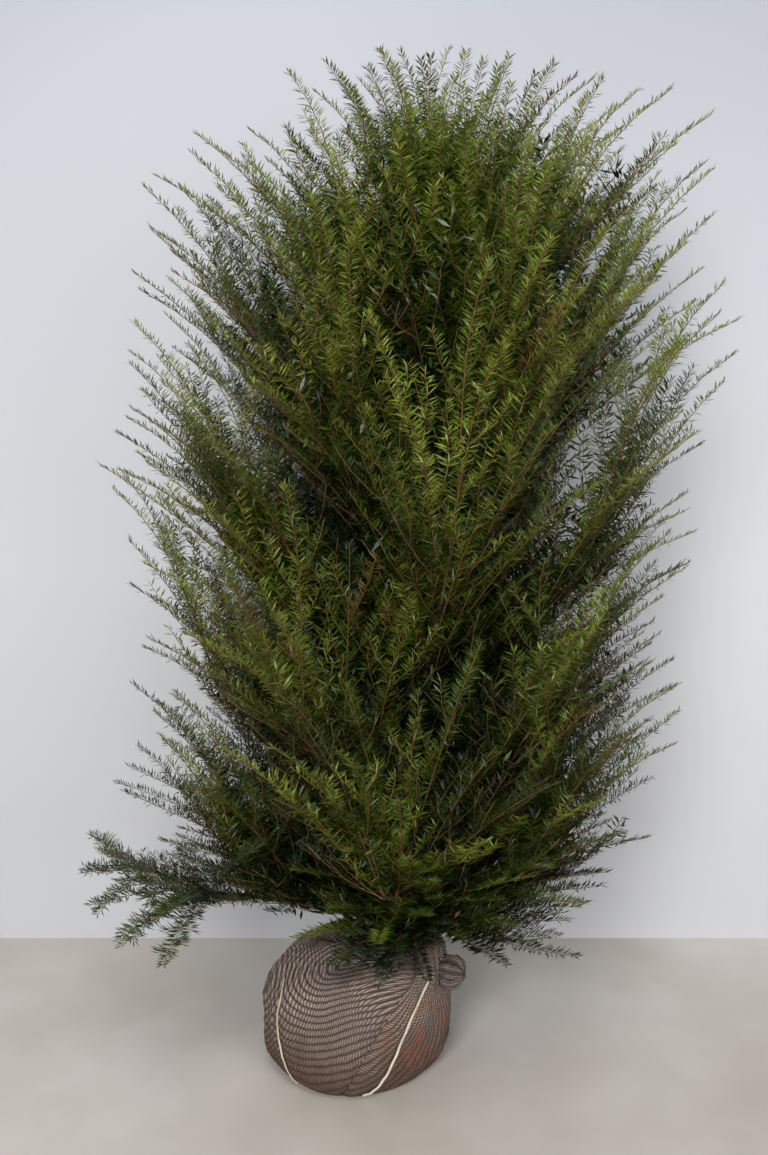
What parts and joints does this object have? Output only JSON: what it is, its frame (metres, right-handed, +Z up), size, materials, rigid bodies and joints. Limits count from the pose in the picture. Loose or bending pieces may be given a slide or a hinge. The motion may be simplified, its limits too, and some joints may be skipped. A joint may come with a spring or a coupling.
{
  "type": "yew sapling with root ball",
  "caption": "Bushy evergreen yew plant with arching plumes of needles round a leaning trunk, standing on its jute-wrapped root ball.",
  "frame": {"origin": "middle of the flat underside of the root ball, on the ground", "axes": "+Z up along the plant, -Y towards the side that shows the low arm on its left, +X to that side's right, the way the plant leans"},
  "size_m": [1.3472, 1.049, 2.108],
  "materials": {
    "needles": "satin",
    "bark": "rough",
    "wrapped_soil": "rough",
    "jute": "rough",
    "tie_cloth": "rough"
  },
  "bodies": {
    "root": {"bough_low_back": "bark", "bough_low_front_left": "bark", "bough_low_front_right": "bark", "bough_low_left": "bark", "bough_low_right": "bark", "bough_middle_back_left": "bark", "bough_middle_back_right": "bark", "bough_middle_front": "bark", "bough_middle_left": "bark", "bough_middle_right": "bark", "bough_shoulder_back_left": "bark", "bough_shoulder_back_right": "bark", "bough_shoulder_front_left": "bark", "bough_shoulder_front_right": "bark", "bough_skirt_back_left": "bark", "bough_skirt_back_right": "bark", "bough_skirt_front": "bark", "bough_skirt_left": "bark", "bough_skirt_right": "bark", "bough_upper_back": "bark", "bough_upper_front_left": "bark", "bough_upper_front_right": "bark", "bough_upper_left": "bark", "bough_upper_right": "bark", "foliage_leader": "needles", "foliage_low_back": "needles", "foliage_low_front_left": "needles", "foliage_low_front_right": "needles", "foliage_low_left": "needles", "foliage_low_right": "needles", "foliage_middle_back_left": "needles", "foliage_middle_back_right": "needles", "foliage_middle_front": "needles", "foliage_middle_left": "needles", "foliage_middle_right": "needles", "foliage_shoulder_back_left": "needles", "foliage_shoulder_back_right": "needles", "foliage_shoulder_front_left": "needles", "foliage_shoulder_front_right": "needles", "foliage_skirt_back_left": "needles", "foliage_skirt_back_right": "needles", "foliage_skirt_front": "needles", "foliage_skirt_left": "needles", "foliage_skirt_right": "needles", "foliage_top_back_left": "needles", "foliage_top_front": "needles", "foliage_top_right": "needles", "foliage_upper_back": "needles", "foliage_upper_front_left": "needles", "foliage_upper_front_right": "needles", "foliage_upper_left": "needles", "foliage_upper_right": "needles", "jute_knot": "jute", "root_ball": "wrapped_soil", "tie_back_left": "tie_cloth", "tie_back_right": "tie_cloth", "tie_front_left": "tie_cloth", "tie_front_right": "tie_cloth", "trunk": "bark"}
  },
  "joints": []
}
